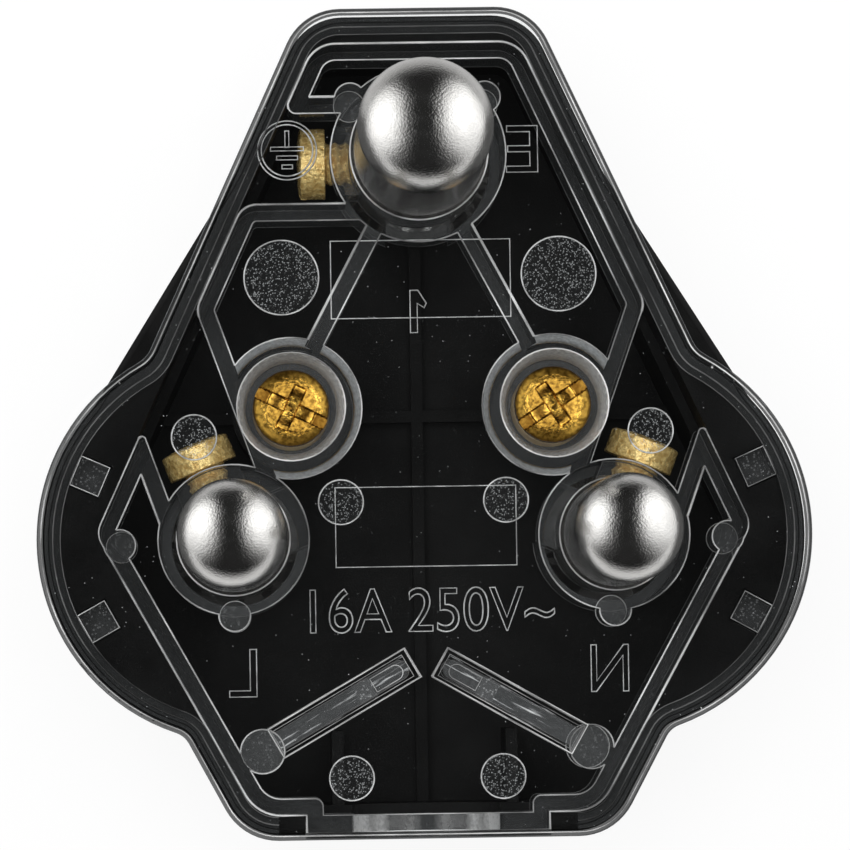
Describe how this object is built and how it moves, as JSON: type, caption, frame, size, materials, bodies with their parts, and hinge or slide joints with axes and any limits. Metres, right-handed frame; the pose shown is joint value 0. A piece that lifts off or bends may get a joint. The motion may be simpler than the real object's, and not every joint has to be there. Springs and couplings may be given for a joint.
{
  "type": "three-pin plug top",
  "caption": "Rewireable mains plug top with a clear ribbed pin plate, round plated pins, sunk brass screws and a hollow black rubber cover that takes the cord at its foot.",
  "frame": {"origin": "middle of the footprint, on the flat back of the rubber cover", "axes": "+Z out of the pin face along the pins, +Y from the cord entry to the earth pin, +X towards the neutral pin"},
  "size_m": [0.0514, 0.0552, 0.0526],
  "materials": {
    "clear_plate": "clear moulded polycarbonate, polished face with frosted rib ends",
    "black_rubber": "satin moulded rubber",
    "plated_pin": "nickel plated, slightly grained",
    "brass_screw": "turned, bright",
    "brass_insert": "turned, dull"
  },
  "bodies": {
    "root": {"pin_plate": "clear_plate", "rubber_cover": "black_rubber", "earth_pin": "plated_pin", "live_pin": "plated_pin", "neutral_pin": "plated_pin", "earth_terminal_screw": "brass_screw", "live_terminal_screw": "brass_screw", "neutral_terminal_screw": "brass_screw", "cover_screw_left": "brass_screw", "cover_screw_right": "brass_screw", "cover_insert_left": "brass_insert", "cover_insert_right": "brass_insert"}
  },
  "joints": []
}
